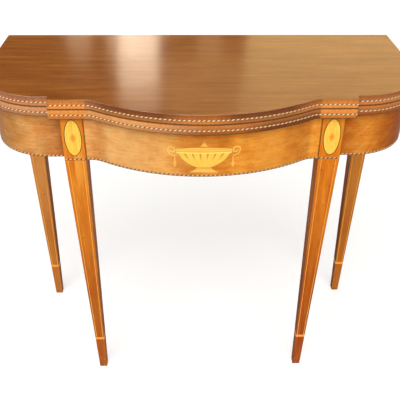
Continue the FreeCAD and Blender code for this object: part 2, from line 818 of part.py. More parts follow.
def make_front_leg(side_name, side):
    """A leg that carries the ends of two rails and whose foot stands in and back from its stile."""
    leg = SimpleNamespace(
        name=f"front_{side_name}_leg", x=side * FRONT_LEG_X, y=LEG_FACE + d.leg_width / 2,
        foot_drift=(-side * d.front_foot_toe_in, d.front_foot_set_back),
    )
    blank = leg_blank(leg, UNDER_TOP)
    band = block(
        f"{leg.name}_band", (leg.x - d.leg_width / 2, leg.x + d.leg_width / 2),
        (LEG_FACE, LEG_FACE + d.inlay_depth), (APRON_BASE, APRON_BASE + d.apron_string_height),
    )
    keep(f"{leg.name}_apron_band", band)
    inlays = [leg_oval(leg.name, leg.x)[0], band, leg_cuff(leg), leg_lines(leg)]
    rails = [pieces["front_rail"], end_rails[side_name]]
    return keep(leg.name, cut(f"{leg.name}_jointed", blank, *inlays, *rails))


# Fly legs: a rail that turns on a knuckle joint carries each rear leg

FLY_INSET = d.rail_thickness / 2 - d.swing_clearance
COVE = d.rail_thickness / 2 + d.socket_gap
PIN_RADIUS = d.knuckle_pin_diameter / 2


def knuckle_end(side, away, radius):
    """The end of a rail of that half thickness, drawn from its low face to its high one: a barrel about
    the pin, with a notch on either face that takes the other rail's horns when the leg is swung out."""
    x = side * KNUCKLE_X
    notch = radius * BEVEL_SHARE
    bend = -away * radius
    return [
        (x + away * radius, KNUCKLE_Y - radius), (x + away * notch, KNUCKLE_Y - notch, bend),
        (x - away * radius, KNUCKLE_Y, bend), (x + away * notch, KNUCKLE_Y + notch),
        (x + away * radius, KNUCKLE_Y + radius),
    ]


def socket_path(side, away, reach):
    """The room for the mating knuckles: a cove about the pin between two bevelled horns, which are set
    back a little from the notches. It is cut from the rail that lies on the away side of the pin."""
    x = side * KNUCKLE_X
    hollow = x + away * COVE * HORN_X_SHARE
    shoulder = hollow + away * COVE * (1 - HORN_Y_SHARE)
    beyond = x - away * reach
    low = KNUCKLE_Y - COVE
    high = KNUCKLE_Y + COVE
    return [
        (beyond, low), (shoulder, low),
        (hollow, KNUCKLE_Y - COVE * HORN_Y_SHARE, away * COVE),
        (hollow, KNUCKLE_Y + COVE * HORN_Y_SHARE),
        (shoulder, high), (beyond, high),
    ]


def knuckle_pin(name, side, radius):
    return rod(name, (side * KNUCKLE_X, KNUCKLE_Y, APRON_BASE), radius, FLY_HEIGHT)


def make_hinge_rail():
    """The fixed middle of the rear rail, with two knuckles at either end."""
    round_end = d.rail_thickness / 2
    right = knuckle_end(1, -1, round_end)
    body = new_body("hinge_rail")
    plan = sketch_on(body, "hinge_rail_plan", "XY_Plane", APRON_BASE)
    pad(body, draw(plan, symmetric(right)), FLY_HEIGHT)
    sockets = sketch_on(body, "hinge_rail_sockets", "XY_Plane", APRON_BASE - d.knuckle_gap / 2)
    for side in SIDES.values():
        draw(sockets, socket_path(side, -side, round_end + d.overrun))
    room = pocket(body, sockets, KNUCKLE_HEIGHT + d.knuckle_gap)
    return climb(body, room, KNUCKLES // 2 + 1, 2 * KNUCKLE_HEIGHT)


def make_fly(side_name, side):
    """A fly rail with three knuckles, tenoned into its rear leg."""
    name = f"{side_name}_fly_rail"
    butt = [(side * FLY_END, KNUCKLE_Y + FLY_INSET), (side * FLY_END, KNUCKLE_Y - FLY_INSET)]
    body = new_body(name)
    plan = sketch_on(body, f"{name}_plan", "XY_Plane", APRON_BASE)
    pad(body, draw(plan, knuckle_end(side, side, FLY_INSET) + butt), FLY_HEIGHT)
    level = APRON_BASE + KNUCKLE_HEIGHT - d.knuckle_gap / 2
    sockets = sketch_on(body, f"{name}_sockets", "XY_Plane", level)
    draw(sockets, socket_path(side, side, FLY_INSET + d.overrun))
    room = pocket(body, sockets, KNUCKLE_HEIGHT + d.knuckle_gap)
    climb(body, room, KNUCKLES // 2, 2 * KNUCKLE_HEIGHT)
    rail_tenon = tenon(f"{name}_tenon", span(side, FLY_END, FLY_END + d.tenon_length), REAR)
    bore = knuckle_pin(f"{name}_bore", side, PIN_RADIUS + d.pin_clearance)
    rail = keep(name, cut(f"{name}_bored", fuse(f"{name}_tenoned", body, rail_tenon), bore))
    leg = SimpleNamespace(
        name=f"rear_{side_name}_leg", x=side * REAR_LEG_X,
        y=REAR + d.swing_clearance + d.leg_width / 2, foot_drift=(ZERO, ZERO),
    )
    blank = leg_blank(leg, FLY_TOP)
    keep(leg.name, cut(f"{leg.name}_jointed", blank, leg_cuff(leg), leg_lines(leg), rail))


for side_name, side in SIDES.items():
    make_front_leg(side_name, side)
    make_fly(side_name, side)

knuckle_pins = [knuckle_pin(f"{name}_knuckle", side, PIN_RADIUS) for name, side in SIDES.items()]
group("knuckle_pins", knuckle_pins)

rail_screws = []
for name, side in SIDES.items():
    for number, share in enumerate(RAIL_SCREW_SHARES):
        at = (side * d.rail_screw_spread / 2, REAR + d.rail_thickness, APRON_BASE + FLY_HEIGHT * share)
        rail_screws.append(screw(
            f"{name}_rail_screw_{number}", at, -Y_AXIS,
            d.rail_screw_length, d.wood_screw_diameter, d.wood_screw_head,
        ))
group("hinge_rail_screws", rail_screws)
keep("hinge_rail", cut("hinge_rail_bored", make_hinge_rail(), *knuckle_pins, *rail_screws))
keep("rear_rail", cut("rear_rail_housed", rear_rail, brace, *rail_screws))

# Glue blocks under the lower leaf, each with a screw up into it

BLOCK_Z = (UNDER_TOP - d.block_height, UNDER_TOP)
LEG_BACK = LEG_FACE + d.leg_width
SIDE_BLOCK_Y = SHELF + d.ovolo_radius + (REAR - SHELF - d.ovolo_radius) * SIDE_BLOCK_SHARE


def block_place(where, side):
    """The ends of a block along X and Y."""
    half = d.block_length / 2
    if where == "leg":
        x = side * FRONT_LEG_X
        return (x - half, x + half), (LEG_BACK, LEG_BACK + d.block_depth)
    if where == "rear":
        x = side * FRONT_LEG_X
        face = REAR - d.rear_rail_thickness
        return (x - half, x + half), (face - d.block_depth, face)
    return span(side, END_INNER - d.block_depth, END_INNER), (SIDE_BLOCK_Y - half, SIDE_BLOCK_Y + half)


glue_blocks = []
block_screws = []
for where in ("leg", "end", "rear"):
    for name, side in SIDES.items():
        x, y = block_place(where, side)
        at = ((x[0] + x[1]) / 2, (y[0] + y[1]) / 2, BLOCK_Z[0])
        fixing = screw(
            f"{name}_{where}_screw", at, Z_AXIS,
            d.block_screw_length, d.wood_screw_diameter, d.wood_screw_head,
        )
        blank = block(f"{name}_{where}_blank", x, y, BLOCK_Z)
        block_screws.append(fixing)
        glue_blocks.append(cut(f"{name}_{where}_block", blank, fixing))
group("glue_blocks", glue_blocks)
group("block_screws", block_screws)
keep("lower_leaf", cut("lower_leaf_drilled", lower_leaf, *block_screws))

doc.recompute()

failed = [item.Name for item in doc.Objects if {"Invalid", "Error"} & set(item.State)]
broken = [label for label, made in pieces.items() if made.Shape.isNull() or not made.Shape.isValid()]
if failed or broken:
    raise SystemExit(f"failed objects: {failed}; broken shapes: {broken}")

os.makedirs("parts", exist_ok=True)
for label, made in pieces.items():
    made.Shape.exportStep(f"parts/{label}.step")
    print(f"{label}: {len(made.Shape.Solids)} solid(s), {made.Shape.Volume:.1f} mm3")
print(f"{len(pieces)} nodes")
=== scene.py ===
import json
import math

import bpy
from mathutils import Matrix, Vector


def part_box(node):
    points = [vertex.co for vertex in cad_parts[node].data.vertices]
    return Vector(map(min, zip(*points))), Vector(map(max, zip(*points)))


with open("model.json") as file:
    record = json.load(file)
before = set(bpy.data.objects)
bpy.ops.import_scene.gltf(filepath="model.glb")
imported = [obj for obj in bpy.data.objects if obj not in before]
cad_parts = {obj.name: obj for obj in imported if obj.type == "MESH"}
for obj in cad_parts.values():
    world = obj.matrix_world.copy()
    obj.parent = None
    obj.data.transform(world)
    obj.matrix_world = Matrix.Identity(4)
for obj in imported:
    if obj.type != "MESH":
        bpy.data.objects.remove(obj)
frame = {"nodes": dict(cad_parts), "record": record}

# The sample objects of an empty file go
for name in ("Cube", "Light", "Camera"):
    if name in bpy.data.objects:
        bpy.data.objects.remove(bpy.data.objects[name])

nodes = frame["nodes"]
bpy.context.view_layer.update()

# Places read from the frame, in metres
LEAF_LOW, LEAF_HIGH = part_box("upper_leaf")
STILE_LOW, STILE_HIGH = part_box("front_right_leg")
BOWL_LOW, BOWL_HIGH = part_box("urn_bowl")
TOP_Z = LEAF_HIGH.z
JOINT_Z = LEAF_LOW.z
LEAF_THICKNESS = TOP_Z - JOINT_Z
STILE_INNER = STILE_LOW.x
STILE_OUTER = STILE_HIGH.x

# The photographer's stance, solved from the outline of the table in the picture
CAMERA_AT = Vector((-0.03702, -1.208915, 1.22925))
CAMERA_YAW = math.radians(1.72)
CAMERA_PITCH = math.radians(33.53)
CAMERA_ROLL = math.radians(0.53)
CAMERA_CLIP = (0.01, 200.0)
FOCAL_PIXELS = 620.76
IMAGE_PIXELS = 400
SENSOR_MM = 36.0


def tone(red, green, blue):
    """A colour as it looks on a screen, 0 to 255, turned by the sRGB curve into the linear one
    that shaders use."""
    def linear(value):
        share = value / 255
        return share / 12.92 if share <= 0.04045 else ((share + 0.055) / 1.055) ** 2.4
    return (linear(red), linear(green), linear(blue), 1.0)


def grey(share):
    """A linear grey, from 0 for black to 1 for white."""
    return (share, share, share, 1.0)


WHITE = grey(1.0)

# How a grain is drawn out along the axes of a piece
EVEN = (1.0, 1.0, 1.0)
ALONG_X = (1.0, 12.0, 12.0)
ALONG_Z = (12.0, 12.0, 1.0)
RUN = "run"

# The range in which the values of a noise lie, and places of colours along it
NOISE_LOW, NOISE_HIGH = 0.3, 0.7
TWO_STOPS = (NOISE_LOW, NOISE_HIGH)
THREE_STOPS = (NOISE_LOW, 0.5, NOISE_HIGH)
WOOD_STOPS = (0.32, 0.50, 0.68)

# Edges: the radii to which they are rubbed, and how like the flat normal a rounded one is
EDGE_RADIUS = 0.0012
RIM_RADIUS = 0.002
EDGE_SAMPLES = 4
LIKE_FLAT, LIKE_EDGE = 0.99, 0.80

# Depths of relief, in metres
GRAIN_DEPTH = 0.00003
POLISH_DEPTH = 0.00001
FIBRE_DEPTH = 0.00015
SCRATCH_DEPTH = 0.00004
FLUTE_DEPTH = 0.00008

# Sockets of a node that mixes colours
MIX_SHARE, MIX_BELOW, MIX_ABOVE, MIX_RESULT = 0, 6, 7, 2


class Graph:
    """The node tree of a new material or world, with short calls that add nodes and link them."""

    def __init__(self, name, kind="materials", shader="Principled BSDF"):
        self.owner = getattr(bpy.data, kind).new(name)
        self.owner.use_nodes = True
        self.tree = self.owner.node_tree
        self.shader = self.tree.nodes[shader]

    def feed(self, socket, value):
        """Link a socket to an output, or give it a plain value."""
        if isinstance(value, bpy.types.NodeSocket):
            self.tree.links.new(value, socket)
        else:
            socket.default_value = value

    def add(self, kind, inputs, output=0, **settings):
        """A new node with its settings and inputs. Its chosen output comes back."""
        made = self.tree.nodes.new(f"ShaderNode{kind}")
        for key, value in settings.items():
            setattr(made, key, value)
        for key, value in inputs.items():
            self.feed(made.inputs[key], value)
        return made.outputs[output]

    def set(self, **inputs):
        """Feed the shader. Underscores in a name stand for spaces."""
        for key, value in inputs.items():
            self.feed(self.shader.inputs[key.replace("_", " ")], value)
        return self.owner

    def place(self, stretch=EVEN):
        """Coordinates in metres, which stay with the piece, stretched along its axes."""
        source = self.add("TexCoord", {}, "Object")
        return self.add("Mapping", {"Vector": source, "Scale": stretch})

    def run(self, stretch=EVEN):
        """Coordinates that follow the outline: the way along it, then the height."""
        source = self.add("UVMap", {}, uv_map=RUN)
        return self.add("Mapping", {"Vector": source, "Scale": stretch})

    def axis(self, where, name):
        """One of the coordinates of a place."""
        return self.add("SeparateXYZ", {"Vector": where}, name)

    def noise(self, where, scale, detail=3.0, roughness=0.55, distortion=0.0):
        """Smooth noise at a place."""
        return self.add("TexNoise", {
            "Vector": where, "Scale": scale, "Detail": detail,
            "Roughness": roughness, "Distortion": distortion,
        })

    def math(self, operation, *values):
        """An operation on one or two values."""
        return self.add("Math", dict(enumerate(values)), operation=operation)

    def times(self, first, *others):
        """The product of values."""
        for other in others:
            first = self.math("MULTIPLY", first, other)
        return first

    def gap(self, value, middle):
        """How far a value lies from a middle one."""
        return self.math("ABSOLUTE", self.math("SUBTRACT", value, middle))

    def rise(self, value, base, height):
        """How far a value lies above a base, as a share of a height."""
        return self.math("DIVIDE", self.math("SUBTRACT", value, base), height)

    def spread(self, value, low, high, to_low, to_high):
        """Stretch a range of values onto another one."""
        return self.add("MapRange", {
            "Value": value, "From Min": low, "From Max": high, "To Min": to_low, "To Max": to_high,
        })

    def between(self, share, low, high):
        """From one value to another as a share goes from 0 to 1."""
        return self.spread(share, 0.0, 1.0, low, high)

    def swing(self, noise, low, high):
        """Stretch a noise onto a range."""
        return self.spread(noise, NOISE_LOW, NOISE_HIGH, low, high)

    def fade(self, value, start, full, share=1.0):
        """0 where a value starts, growing to a share where it is full."""
        return self.spread(value, start, full, 0.0, share)

    def hump(self, value, middle, half, blur, share=1.0):
        """A share within half a width of a middle value, fading to 0 over a blur."""
        return self.fade(self.gap(value, middle), half + blur, half, share)

    def ramp(self, value, places, colours):
        """Colours along a value, each at its place."""
        made = self.tree.nodes.new("ShaderNodeValToRGB")
        self.feed(made.inputs["Fac"], value)
        band = made.color_ramp
        while len(band.elements) < len(places):
            band.elements.new(1.0)
        for element, place, colour in zip(band.elements, places, colours):
            element.position = place
            element.color = colour
        return made.outputs["Color"]

    def mix(self, share, below, above, blend="MIX"):
        """A share of one colour over another."""
        made = self.tree.nodes.new("ShaderNodeMix")
        made.data_type = "RGBA"
        made.blend_type = blend
        for index, value in ((MIX_SHARE, share), (MIX_BELOW, below), (MIX_ABOVE, above)):
            self.feed(made.inputs[index], value)
        return made.outputs[MIX_RESULT]

    def stain(self, colour, share, tint):
        """Multiply a share of a tint into a colour."""
        return self.mix(share, colour, (*tint, 1.0), "MULTIPLY")

    def streaks(self, colour, share, noise, places, tint):
        """Multiply streaks into a colour: a tint at the noise's first place, none at its second."""
        return self.mix(share, colour, self.ramp(noise, places, ((*tint, 1.0), WHITE)), "MULTIPLY")

    def worn_edges(self, radius):
        """How far a point lies on a rounded edge, 0 on the flat, and the rounded normal."""
        rounded = self.add("Bevel", {"Radius": radius}, samples=EDGE_SAMPLES)
        flat = self.add("NewGeometry", {}, "Normal")
        likeness = self.add(
            "VectorMath", {0: rounded, 1: flat}, "Value", operation="DOT_PRODUCT",
        )
        return self.fade(likeness, LIKE_FLAT, LIKE_EDGE), rounded

    def backdrop_rays(self):
        """1 for the rays that show the background, straight or by way of gloss or glass, else 0."""
        path = self.tree.nodes.new("ShaderNodeLightPath").outputs
        mirrored = self.math("MAXIMUM", path["Is Glossy Ray"], path["Is Transmission Ray"])
        return self.math("MAXIMUM", path["Is Camera Ray"], mirrored)

    def bump(self, height, distance, normal=None):
        """A normal with relief, on the piece's own normal or on a given one."""
        inputs = {"Height": height, "Distance": distance, "Strength": 1.0}
        if normal is not None:
            inputs["Normal"] = normal
        return self.add("Bump", inputs)


# Kinds of surface

STREAK_TINT = (0.42, 0.36, 0.30)
FIBRE_TINT = (0.55, 0.50, 0.45)
FINE_TIMES = 8
PORE_TIMES = 34
DULL_STEP = 0.16
TARNISH_STEP = 0.25


def wood(g, where, tones, figure, streak, shade=None, radius=EDGE_RADIUS):
    """The colour of polished wood, its fine grain and its rounded normal: broad figure, fine
    streaks, pores, and edges rubbed lighter."""
    dark, _, light = tones
    broad = g.noise(where, figure, detail=5.0, roughness=0.62, distortion=0.2)
    colour = g.ramp(broad, WOOD_STOPS, tones)
    if shade:
        colour = shade(g, colour)
    fine = g.noise(where, figure * FINE_TIMES, detail=5.0, roughness=0.7)
    colour = g.streaks(colour, streak, fine, (0.32, 0.62), STREAK_TINT)
    pores = g.noise(where, figure * PORE_TIMES, detail=2.0, roughness=0.5)
    pores = g.fade(pores, start=0.60, full=0.74)
    colour = g.mix(g.times(pores, 0.35), colour, dark)
    worn, rounded = g.worn_edges(radius)
    handled = g.fade(g.noise(g.place(), scale=60.0), start=0.35, full=0.65, share=0.5)
    colour = g.mix(g.times(worn, handled), colour, light)
    return colour, fine, g.bump(g.math("SUBTRACT", fine, pores), GRAIN_DEPTH, rounded)


def polished(name, tones, stretch, gloss, by_run=False, rough=0.34, **looks):
    """Wood under an old, thin polish."""
    g = Graph(name)
    where = g.run(stretch) if by_run else g.place(stretch)
    colour, _, relief = wood(g, where, tones, **looks)
    dull = g.swing(g.noise(g.place(), scale=14.0, detail=4.0), rough, rough + DULL_STEP)
    return g.set(Base_Color=colour, Roughness=dull, Normal=relief, Specular_IOR_Level=gloss)


def bare_wood(name, *tones):
    """Planed wood without polish, for the pieces inside."""
    g = Graph(name)
    where = g.place(ALONG_X)
    rings = g.noise(where, scale=7.0, detail=5.0, roughness=0.6, distortion=1.2)
    colour = g.ramp(rings, WOOD_STOPS, tones)
    fibres = g.noise(where, scale=70.0)
    colour = g.streaks(colour, 0.4, fibres, (0.3, 0.6), FIBRE_TINT)
    grime = g.noise(g.place(), scale=9.0, detail=4.0)
    colour = g.mix(g.fade(grime, start=0.45, full=0.7, share=0.4), colour, tones[0])
    return g.set(
        Base_Color=colour, Roughness=g.swing(fibres, 0.55, 0.8),
        Normal=g.bump(fibres, FIBRE_DEPTH), Specular_IOR_Level=0.3,
    )


def metal(name, fresh, aged, rough):
    """Old metal, dull in patches and rubbed bright on its edges."""
    g = Graph(name)
    patches = g.noise(g.place(), scale=90.0, detail=5.0, roughness=0.65)
    colour = g.ramp(patches, (0.35, 0.65), (aged, fresh))
    worn, rounded = g.worn_edges(EDGE_RADIUS / 2)
    colour = g.mix(g.times(worn, 0.6), colour, fresh)
    scratches = g.noise(g.place(ALONG_X), scale=160.0, detail=2.0)
    return g.set(
        Base_Color=colour, Metallic=1.0, Roughness=g.swing(patches, rough, rough + TARNISH_STEP),
        Normal=g.bump(scratches, SCRATCH_DEPTH, rounded),
    )


# Coordinates along the outline, for pieces that follow it round

TINY = 1e-5
LEAST_TURN = 1e-9
DIGITS = 6


def bearing(point):
    """The direction of a point of the outline seen from the middle of the back edge."""
    return math.atan2(point.x, LEAF_HIGH.y - point.y)


def outline_runs():
    """The outline of the top as pairs of a bearing and the way along it, from its left back
    corner to its right one."""
    upper = [v.co for v in nodes["upper_leaf"].data.vertices if v.co.z > TOP_Z - TINY]
    corner = max(co.x for co in upper if co.y > LEAF_HIGH.y - TINY)
    rim = [co for co in upper if co.y < LEAF_HIGH.y - TINY or abs(co.x) > corner - TINY]
    points = {(round(co.x, DIGITS), round(co.y, DIGITS)) for co in rim}
    rim = sorted((Vector(point) for point in points), key=bearing)
    pairs = []
    way = 0.0
    for here, before in zip(rim, rim[:1] + rim[:-1]):
        way += (here - before).length
        pairs.append((bearing(here), way))
    return pairs


def way_at(pairs, angle):
    """The way along the outline at a bearing, between the listed pairs."""
    if angle <= pairs[0][0]:
        return pairs[0][1]
    for (low, start), (high, stop) in zip(pairs, pairs[1:]):
        if angle <= high:
            return start + (stop - start) * (angle - low) / max(high - low, LEAST_TURN)
    return pairs[-1][1]


def lay_run(node, pairs):
    """Give a piece a map of its way along the outline and its height."""
    mesh = nodes[node].data
    layer = mesh.uv_layers.new(name=RUN)
    runs = [way_at(pairs, bearing(vertex.co)) for vertex in mesh.vertices]
    for loop in mesh.loops:
        vertex = mesh.vertices[loop.vertex_index]
        layer.data[loop.index].uv = (runs[loop.vertex_index], vertex.co.z)


OUTLINE = outline_runs()
FOLLOWERS = (
    "_leaf", "_veneer", "_leaf_stringing", "rail_stringing", "end_stringing", "apron_band",
)
for name in nodes:
    if name.endswith(FOLLOWERS):
        lay_run(name, OUTLINE)


# Broad faces and back edges of the leaves

TOP_TONES = (tone(146, 82, 27), tone(161, 94, 36), tone(174, 107, 47))
TOP_FIGURE = 5.2
TOP_CLOUD = (0.78, 0.70, 0.58)
TOP_FLECK = tone(112, 60, 20)
JOINT_SHADOW = 0.0012
JOINT_TONE = tone(60, 28, 12)


def joint_shade(g, colour):
    """A dark line where the two leaves meet."""
    gap = g.gap(g.axis(g.place(), "Z"), JOINT_Z)
    return g.mix(g.fade(gap, JOINT_SHADOW, JOINT_SHADOW / 3, share=0.8), colour, JOINT_TONE)


def top_wood(name):
    """The broad faces of the leaves, cloudy and flecked, under a deep polish that the pores break
    up in streaks."""
    g = Graph(name)
    colour, fine, relief = wood(
        g, g.place(ALONG_X), TOP_TONES, figure=TOP_FIGURE, streak=0.2, radius=RIM_RADIUS,
    )
    clouds = g.noise(g.place((1, 2.5, 1)), scale=9.0, detail=4.0)
    colour = g.stain(colour, g.fade(clouds, start=0.40, full=0.62, share=0.5), TOP_CLOUD)
    flecks = g.noise(g.place((1, 7, 7)), scale=75.0, roughness=0.6)
    colour = g.mix(g.fade(flecks, start=0.56, full=0.66, share=0.35), colour, TOP_FLECK)
    filled = g.noise(g.place((1, 9, 9)), scale=46.0, detail=5.0, roughness=0.65)
    polish = g.spread(filled, low=0.36, high=0.58, to_low=0.68, to_high=1.0)
    haze = g.noise(g.place(), scale=7.0, detail=4.0)
    return g.set(
        Base_Color=colour, Normal=relief, Roughness=g.swing(fine, 0.30, 0.42),
        Specular_IOR_Level=0.0, Coat_Weight=polish, Coat_Roughness=g.swing(haze, 0.10, 0.15),
        Coat_Normal=g.bump(filled, POLISH_DEPTH),
    )


# Front and end edges of the leaves: lengths of banding, and the flats over the front legs

BANDING_LENGTH = 0.083
BANDING_STOPS = (0.0, 0.55, 1.0)
BANDING_TONES = (tone(178, 102, 46), tone(194, 114, 50), tone(180, 112, 70))
LOWER_LOT = 50
PAINTED_LIGHT_BANDING = tone(250, 184, 116)
PAINTED_SHADE_BANDING = tone(100, 48, 20)
PAINTED_REFLECTION_BANDING = tone(190, 132, 104)
FLAT_BANDING_PAINTED_LIGHT = tone(236, 146, 62)
FLAT_INNER = 0.223
FLAT_OUTER = 0.291
FLAT_BLUR = 0.003
CROSS_GRAIN = (60, 6, 1)
CROSS_TINT = (0.50, 0.42, 0.36)
RIM_WEAR_AND_HIGHLIGHT = tone(246, 214, 178)

# Lines along the edges, by their distance from the joint in leaf thicknesses: where a line starts
# and is full, its share and its colour. Paler by the joint, painted shade outwards, a painted
# shadow line at the rim, the joint itself.
EDGE_LINES = (
    (0.50, 0.12, 0.35, tone(244, 164, 88)),
    (0.52, 0.80, 0.32, tone(92, 44, 24)),
    (0.92, 0.97, 0.50, tone(84, 40, 16)),
    (0.12, 0.05, 0.75, tone(76, 36, 16)),
)


def banding(g, where, x):
    """Short lengths of banding of differing tone, with painted light on the left of the lower leaf,
    painted shade on parts of the bow, a painted grey reflection at the left end and painted light
    on the flats over the legs."""
    lower = g.math("LESS_THAN", g.axis(where, "Y"), JOINT_Z)
    length = g.math("FLOOR", g.math("DIVIDE", g.axis(where, "X"), BANDING_LENGTH))
    lot = g.math("ADD", length, g.times(lower, LOWER_LOT))
    chance = g.add("TexWhiteNoise", {"W": lot}, "Value", noise_dimensions="1D")
    colour = g.ramp(chance, BANDING_STOPS, BANDING_TONES)
    # Painted light on the left of the lower leaf
    pale = g.times(
        g.fade(x, start=0.0, full=-0.13, share=0.8), g.between(lower, 0.15, 1.0),
        g.between(chance, 0.65, 1.0),
    )
    colour = g.mix(pale, colour, PAINTED_LIGHT_BANDING)
    # Painted shade on parts of the bow
    upper_left = g.hump(x, middle=-0.13, half=0.05, blur=0.05)
    upper_right = g.hump(x, middle=0.11, half=0.05, blur=0.04)
    lower_right = g.hump(x, middle=0.165, half=0.045, blur=0.05)
    dark = g.mix(lower, g.math("MAXIMUM", upper_left, upper_right), lower_right)
    colour = g.mix(g.times(dark, 0.72), colour, PAINTED_SHADE_BANDING)
    # A painted grey reflection on the left end
    left_end = g.math("LESS_THAN", x, -FLAT_OUTER)
    colour = g.mix(g.times(left_end, 0.55), colour, PAINTED_REFLECTION_BANDING)
    # Painted light on the flats over the front legs
    aside = g.math("ABSOLUTE", x)
    on_flat = g.times(
        g.fade(aside, FLAT_INNER - FLAT_BLUR, FLAT_INNER),
        g.fade(aside, FLAT_OUTER, FLAT_OUTER - FLAT_BLUR, share=0.9),
    )
    return g.mix(on_flat, colour, FLAT_BANDING_PAINTED_LIGHT)


def edge_wood(name):
    """The edges of the leaves: banding of crossed grain with a joint between the leaves, painted
    shade and a painted shadow line along them, and a rim that is rubbed pale and carries a painted
    highlight, most of all on the left."""
    g = Graph(name)
    where = g.run()
    up = g.axis(where, "Y")
    x = g.axis(g.place(), "X")
    colour = banding(g, where, x)
    from_joint = g.math("DIVIDE", g.gap(up, JOINT_Z), LEAF_THICKNESS)
    # Paler by the joint, painted shade outwards and a painted shadow line at the rim
    for start, full, share, line in EDGE_LINES:
        colour = g.mix(g.fade(from_joint, start, full, share), colour, line)
    grain = g.noise(g.run(CROSS_GRAIN), scale=12.0, detail=4.0, roughness=0.6)
    colour = g.streaks(colour, 0.55, grain, (0.34, 0.58), CROSS_TINT)
    worn, rounded = g.worn_edges(RIM_RADIUS)
    on_rim = g.math("GREATER_THAN", up, TOP_Z - RIM_RADIUS)
    highlight_leftward = g.spread(x, low=0.25, high=-0.05, to_low=0.25, to_high=1.0)
    handled = g.noise(g.place(), scale=16.0)
    handled = g.spread(handled, low=0.35, high=0.55, to_low=0.3, to_high=1.0)
    # The rim is rubbed pale on worn edges and carries a painted highlight that grows towards the
    # left
    colour = g.mix(g.times(worn, on_rim, highlight_leftward, handled), colour, RIM_WEAR_AND_HIGHLIGHT)
    return g.set(
        Base_Color=colour, Roughness=g.swing(grain, 0.30, 0.44),
        Normal=g.bump(grain, GRAIN_DEPTH, rounded), Specular_IOR_Level=0.12,
    )


# Apron

RIGHT_TINT = (1.0, 0.74, 0.22)
# Broad patches, mottle and flecks: stretch, detail, roughness, where the noise starts and is
# full, share and tint
APRON_FIGURE = (
    ((9, 3, 1), 3.0, 0.55, 0.40, 0.60, 0.6, (0.66, 0.50, 0.32)),
    ((30, 46, 1), 4.0, 0.60, 0.40, 0.62, 0.6, (0.78, 0.62, 0.46)),
    ((70, 420, 1), 3.0, 0.60, 0.54, 0.66, 0.4, (0.64, 0.44, 0.28)),
)
FLAME_LEAN = 0.9
FLAME_STRETCH = (60.0, 14.0)
FLAME_TONE = tone(255, 190, 96)
COVE_SHADE_TINT = (0.62, 0.48, 0.38)
MIDDLE_SHADE_TINT = (0.80, 0.70, 0.54)
PAINTED_LIGHT_LEFT = tone(255, 206, 132)
PAINTED_LIGHT_RIGHT = tone(255, 174, 72)
LEFT_COVE_TINT = (0.74, 0.54, 0.42)
CORNER_SHADE_TINT = (0.34, 0.20, 0.06)
RIGHT_CORNER_SHADE_TINT = (0.66, 0.32, 0.05)
FAR_CORNER_SHADE_TINT = (0.36, 0.20, 0.08)
LEFT_LEG_TINT = (0.66, 0.50, 0.36)
BESIDE_LEG_TINT = (0.66, 0.50, 0.42)
REVEAL_EDGE = 0.0034
REVEAL_CORE = 0.00136
REVEAL_JOINT_AND_SHADOW_TONE = tone(92, 46, 16)


def apron_figure(g, colour, x):
    """The veneer's own figure: redder on the right, mottled, with flames that lean across the
    right end."""
    colour = g.stain(colour, g.fade(x, start=-0.17, full=0.05, share=0.9), RIGHT_TINT)
    for stretch, detail, roughness, start, full, share, tint in APRON_FIGURE:
        layer = g.noise(g.run(stretch), scale=1.0, detail=detail, roughness=roughness)
        colour = g.stain(colour, g.fade(layer, start, full, share), tint)
    run = g.run()
    up = g.axis(run, "Y")
    leaning = g.math("SUBTRACT", g.axis(run, "X"), g.times(up, FLAME_LEAN))
    where = g.add("CombineXYZ", {
        "X": g.times(leaning, FLAME_STRETCH[0]), "Y": g.times(up, FLAME_STRETCH[1]),
    })
    flames = g.fade(g.noise(where, scale=1.0), start=0.50, full=0.66, share=0.5)
    return g.mix(g.times(flames, g.fade(x, start=0.24, full=0.30)), colour, FLAME_TONE)


def apron_darkening_and_shade(g, colour, x, aside):
    """Darker places: the left cove and beside the legs, painted shade on the rounded corners that
    turn away from the light, and dark joint lines beside the stiles deepened by painted shadow.
    """
    colour = g.stain(
        colour, g.hump(x, middle=-0.21, half=0.008, blur=0.022, share=0.6), LEFT_COVE_TINT,
    )
    # Painted shade on the rounded corners, where the ends turn away from the light
    on_corner = g.fade(g.axis(g.place(), "Y"), start=-0.03, full=-0.09)
    old = g.times(g.fade(aside, start=0.33, full=0.425), g.between(on_corner, 0.35, 1.0))
    colour = g.stain(colour, old, CORNER_SHADE_TINT)
    right = g.times(g.fade(x, start=0.31, full=0.40, share=0.9), on_corner)
    colour = g.stain(colour, right, RIGHT_CORNER_SHADE_TINT)
    far = g.times(g.fade(aside, start=0.395, full=0.43, share=0.9), on_corner)
    colour = g.stain(colour, far, FAR_CORNER_SHADE_TINT)
    colour = g.stain(
        colour, g.hump(x, middle=-0.272, half=0.004, blur=0.022, share=0.6), LEFT_LEG_TINT,
    )
    # Darker beside the legs
    by_leg = g.times(
        g.fade(aside, start=0.35, full=0.28, share=0.95),
        g.math("GREATER_THAN", aside, STILE_OUTER),
    )
    colour = g.stain(colour, by_leg, BESIDE_LEG_TINT)
    # Dark joint lines beside each stile, deepened as painted shadow of the proud stile
    for stile in (STILE_INNER, STILE_OUTER):
        line = g.fade(g.gap(aside, stile), REVEAL_EDGE, REVEAL_CORE, share=0.75)
        colour = g.mix(line, colour, REVEAL_JOINT_AND_SHADOW_TONE)
    return colour


